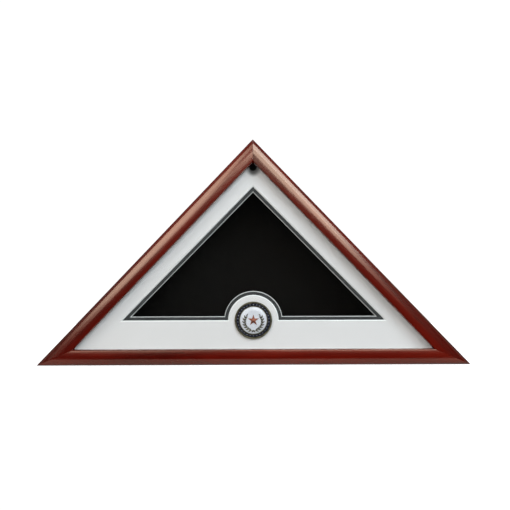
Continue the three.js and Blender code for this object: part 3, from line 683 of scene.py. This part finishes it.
def moulding(side, material):
    """One rail, cut at its mitres and eased along them, in place of the frame's plainer one."""
    first, last = SIDES[side]
    along = (corner(last, 0) - corner(first, 0)).normalized()
    section = moulding_section()
    eased = shrunk(section, MITRE_EASE)
    rings = []
    for end, shape, shift in (
        (first, eased, MITRE_GAP),
        (first, section, MITRE_GAP + 2 * MITRE_EASE),
        (last, section, -MITRE_GAP - 2 * MITRE_EASE),
        (last, eased, -MITRE_GAP),
    ):
        rings.append([at_depth(corner(end, inset) + along * shift, FRONT + depth)
                      for inset, depth in shape])
    name = "rail_" + side + "_moulding"
    piece = new_piece(name, tube_mesh(name, rings), material, sharp=28)
    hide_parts("rail_" + side)


# ---- the medallion -------------------------------------------------------------------------------

def add_leaf(work, foot, heading, base, length, width, height):
    """A laurel leaf: a closed blade with a sunk middle rib, lying on the depth base."""
    ahead = spoke(heading)
    aside = Vector((-ahead.y, ahead.x))
    steps = 9
    rows = []
    for i in range(1, steps):
        share = i / steps
        swell = math.sin(math.pi * share ** 0.8)
        row = []
        for across, rise in LEAF_SECTION:
            place = foot + ahead * (length * share) + aside * (across * width / 2 * swell)
            row.append(work.verts.new(at_depth(place, base - height * rise * swell ** 0.6)))
        rows.append(row)
    start = work.verts.new(at_depth(foot, base))
    end = work.verts.new(at_depth(foot + ahead * length, base))
    last = len(LEAF_SECTION) - 1
    for k in range(last):
        work.faces.new((start, rows[0][k], rows[0][k + 1]))
        work.faces.new((rows[-1][k + 1], rows[-1][k], end))
        for first, second in zip(rows, rows[1:]):
            work.faces.new((first[k], second[k], second[k + 1], first[k + 1]))
    border = [start] + [row[last] for row in rows] + [end] + [row[0] for row in reversed(rows)]
    work.faces.new(border)


def add_dome(work, centre, base, radius, height, segments=14, rings=4):
    """A small dome lying on the depth base."""
    loops = []
    for r in range(rings):
        turn = math.pi / 2 * r / rings
        loop = []
        for i in range(segments):
            out = spoke(2 * math.pi * i / segments) * radius * math.cos(turn)
            loop.append(work.verts.new(at_depth(centre + out, base - height * math.sin(turn))))
        loops.append(loop)
    top = work.verts.new(at_depth(centre, base - height))
    for i in range(segments):
        j = (i + 1) % segments
        for first, second in zip(loops, loops[1:]):
            work.faces.new((first[i], first[j], second[j], second[i]))
        work.faces.new((loops[-1][i], loops[-1][j], top))
    work.faces.new(loops[0])


def medallion_cast(material):
    """The cast body: a rounded rim with fine milling, a sunk ring and a raised line inside it."""
    centre, radius, front, back = middle("medallion_body")
    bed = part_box("medallion_enamel_ring")[1][1] + 0.1 * MM
    chamfer = 0.8 * MM
    profile = [(0, back), (radius - chamfer, back), (radius, back - chamfer)]
    rim_steps = 10
    rim_half = (radius - RING_OUTER) / 2
    rim_height = 1.2 * MM
    for i in range(rim_steps + 1):
        turn = math.pi * i / rim_steps
        depth = front + rim_height * (1 - math.sin(turn))
        profile.append((radius - rim_half * (1 - math.cos(turn)), depth))
    profile.append((RING_OUTER, bed))
    line_top = front + 0.5 * MM
    line_edge = line_top + 0.2 * MM
    foot_half, top_half = 0.4 * MM, 0.2 * MM
    profile += [(RING_INNER + foot_half, bed), (RING_INNER + foot_half, line_edge),
                (RING_INNER + top_half, line_top), (RING_INNER - top_half, line_top),
                (RING_INNER - foot_half, line_edge), (RING_INNER - foot_half, bed), (0, bed)]
    mesh = lathe_mesh("medallion_cast", profile, centre, 240)
    for vertex in mesh.vertices:
        place = Vector((vertex.co.x, vertex.co.z)) - centre
        on_rim = place.length > RING_OUTER + 0.3 * MM and vertex.co.y < back - 1.0 * MM
        if on_rim:
            around = math.atan2(place.y, place.x)
            vertex.co.y += RIDGE_HEIGHT / 2 * (1 + math.cos(RIM_RIDGES * around))
    piece = new_piece("medallion_cast", mesh, material)
    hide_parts("medallion_body")


def medallion_ring_glaze(material):
    """The dark enamel ring, a band with softened edges that closes on itself."""
    centre, radius, front, back = middle("medallion_enamel_ring")
    inner = RING_INNER + GLAZE_GAP
    crown = 0.12 * MM
    profile = [(inner, back), (radius, back), (radius, front + crown), (radius - crown, front),
               (inner + crown, front), (inner, front + crown), (inner, back)]
    mesh = lathe_mesh("medallion_ring_glaze", profile, centre, 180)
    piece = new_piece("medallion_ring_glaze", mesh, material)
    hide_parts("medallion_enamel_ring")


def medallion_field_glaze(material):
    """The pale field, a disc that falls a little towards its edge."""
    centre, _, front, back = middle("medallion_field")
    radius = RING_INNER - GLAZE_GAP
    flat_radius = 0.7 * radius
    crown = 0.3 * MM
    profile = [(0, back), (radius, back), (radius, front + crown),
               (radius - crown, front + crown / 3), (flat_radius, front), (0, front)]
    mesh = lathe_mesh("medallion_field_glaze", profile, centre, 180)
    piece = new_piece("medallion_field_glaze", mesh, material)
    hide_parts("medallion_field")


def medallion_dots(material):
    """Plain raised dots round the enamel ring."""
    centre, _, front, _ = middle("medallion_enamel_ring")
    work = bmesh.new()
    path = (RING_INNER + RING_OUTER) / 2 + 0.1 * MM
    for i in range(DOTS):
        place = centre + spoke(2 * math.pi * (i + 0.5) / DOTS) * path
        add_dome(work, place, front - 0.02 * MM, DOT_RADIUS, DOT_HEIGHT)
    new_piece("medallion_dots", finished("medallion_dots", work), material)


def medallion_laurel(material):
    """Two laurel sprays with berries, tied at the bottom."""
    centre, _, _, back = middle("medallion_wreath")
    lowest = -math.pi / 2
    knot = centre + spoke(lowest) * LAUREL_RADIUS
    work = bmesh.new()
    for hand in (-1, 1):
        for i in range(LEAF_PAIRS):
            turn = lowest + hand * (SPRAY_START + i * SPRAY_SWEEP / LEAF_PAIRS)
            foot = centre + spoke(turn) * LAUREL_RADIUS
            for lean in (-LEAF_LEAN, LEAF_LEAN):
                heading = turn + hand * math.pi / 2 + lean
                add_leaf(work, foot, heading, back, **LEAF)
            add_dome(work, foot, back, radius=0.5 * MM, height=0.95 * MM, segments=12, rings=3)
        tip = lowest + hand * (SPRAY_START + SPRAY_SWEEP)
        foot = centre + spoke(tip) * LAUREL_RADIUS
        add_leaf(work, foot, tip + hand * math.pi / 2, back, **TIP_LEAF)
        add_leaf(work, knot, lowest + hand * 0.9, back, **TIE_LEAF)
    add_dome(work, knot, back, radius=1.25 * MM, height=1.15 * MM, segments=20, rings=5)
    laurel = new_piece("medallion_laurel", finished("medallion_laurel", work), material,
                       sharp=50)
    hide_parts("medallion_wreath")


def medallion_stem(material):
    """The curved stem under the leaves, an oval wire from one spray's tip to the other's."""
    centre, _, _, back = middle("medallion_wreath")
    rings = []
    steps = 48
    sides = 8
    for i in range(steps + 1):
        out = spoke(-math.pi / 2 + (2 * i / steps - 1) * (SPRAY_START + SPRAY_SWEEP))
        ring = []
        for k in range(sides):
            around = 2 * math.pi * k / sides
            place = centre + out * (LAUREL_RADIUS + 0.38 * MM * math.cos(around))
            ring.append(at_depth(place, back - (0.3 + 0.34 * math.sin(around)) * MM))
        rings.append(ring)
    new_piece("medallion_stem", tube_mesh("medallion_stem", rings), material)


def medallion_star(material):
    """A five-pointed star cut as ten facets rising to its middle, on a thin rim."""
    centre, half, front, back = middle("medallion_star")
    radius = half / math.sin(math.radians(72))
    heart = Vector((centre.x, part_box("medallion_star")[1][2] - radius))
    corners = 10
    work = bmesh.new()
    low, high = [], []
    for i in range(corners):
        reach = radius * (1 if i % 2 == 0 else STAR_WAIST)
        place = heart + spoke(math.pi / 2 + 2 * math.pi * i / corners) * reach
        low.append(work.verts.new(at_depth(place, back)))
        high.append(work.verts.new(at_depth(place, back - 0.3 * MM)))
    top = work.verts.new(at_depth(heart, front - 0.5 * MM))
    for i in range(corners):
        j = (i + 1) % corners
        work.faces.new((low[i], low[j], high[j], high[i]))
        work.faces.new((high[i], high[j], top))
    work.faces.new(low)
    piece = new_piece("medallion_star_cut", finished("medallion_star_cut", work), material,
                      sharp=10)
    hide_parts("medallion_star")


# ---- dressing ------------------------------------------------------------------------------------

def dress_wood():
    for side, turn in GRAIN.items():
        gloss = wood("cherry_" + side, turn, roughness=0.17, gloss=0.95, pores=0.35, **CHERRY)
        moulding(side, gloss)
        satin = wood("stain_" + side, turn, roughness=0.6, gloss=0.1, pores=0.6, **STAIN)
        board = "bottom_board" if side == "bottom" else "side_board_" + side
        soften(board, satin, 0.6 * MM)
    black = black_wood()
    soften("apex_block", black, 0.5 * MM)
    for side in SIDES:
        soften("retainer_" + side, black, 0.4 * MM)
    soften("door_panel", door_board(), 0.5 * MM)


def dress_boards(padding):
    soften("glass_pane", clear_glass(), 0.0)
    white = mat_board("white_mat", face=(0.715, 0.688, 0.682), core=(0.88, 0.87, 0.86),
                      shade=NOTCH_SHADE)
    soften("top_mat", white, 0.0)
    charcoal = mat_board("charcoal_mat", face=(0.024, 0.025, 0.025), core=(0.62, 0.62, 0.61))
    soften("liner_mat", charcoal, 0.0)
    pile = flock()
    for side in SIDES:
        soften("wall_lining_" + side, pile, 0.0)
        soften("spacer_" + side, padding, 0.3 * MM)
    soften("door_lining", pile, 0.25 * MM)


def dress_medallion(padding):
    bronze = metal("antique_bronze", (0.050, 0.045, 0.027), (0.135, 0.118, 0.070), 0.36)
    dull_silver = metal("dull_silver", (0.24, 0.24, 0.25), (0.42, 0.42, 0.44), 0.42)
    copper = metal("copper_tint", (0.20, 0.062, 0.040), (0.33, 0.125, 0.082), 0.34)
    soften("medallion_pad", padding, 0.0)
    medallion_cast(bronze)
    medallion_ring_glaze(navy_enamel())
    medallion_field_glaze(rayed_enamel())
    medallion_dots(dull_silver)
    medallion_laurel(bronze)
    medallion_stem(bronze)
    medallion_star(copper)


def dress_hardware():
    brass = metal("brass_plate", (0.62, 0.44, 0.17), (0.72, 0.54, 0.23), 0.24, (1, 1, 8), 150)
    steel = metal("zinc_steel", (0.50, 0.51, 0.52), (0.64, 0.65, 0.67), 0.24, (8, 1, 1), 60)
    black_rubber = rubber()
    for name in nodes_by_name:
        if name.startswith(("hinge_", "turn_")):
            soften(name, brass, 0.12 * MM)
        elif name.startswith(("hanger_", "sawtooth", "v_nail")):
            soften(name, steel, 0.1 * MM)
        elif name.startswith("wall_bumper"):
            soften(name, black_rubber, 0.2 * MM)


make_camera()
make_lights()
make_world()
make_floor()
foam_padding = foam()
dress_wood()
dress_boards(foam_padding)
dress_medallion(foam_padding)
dress_hardware()
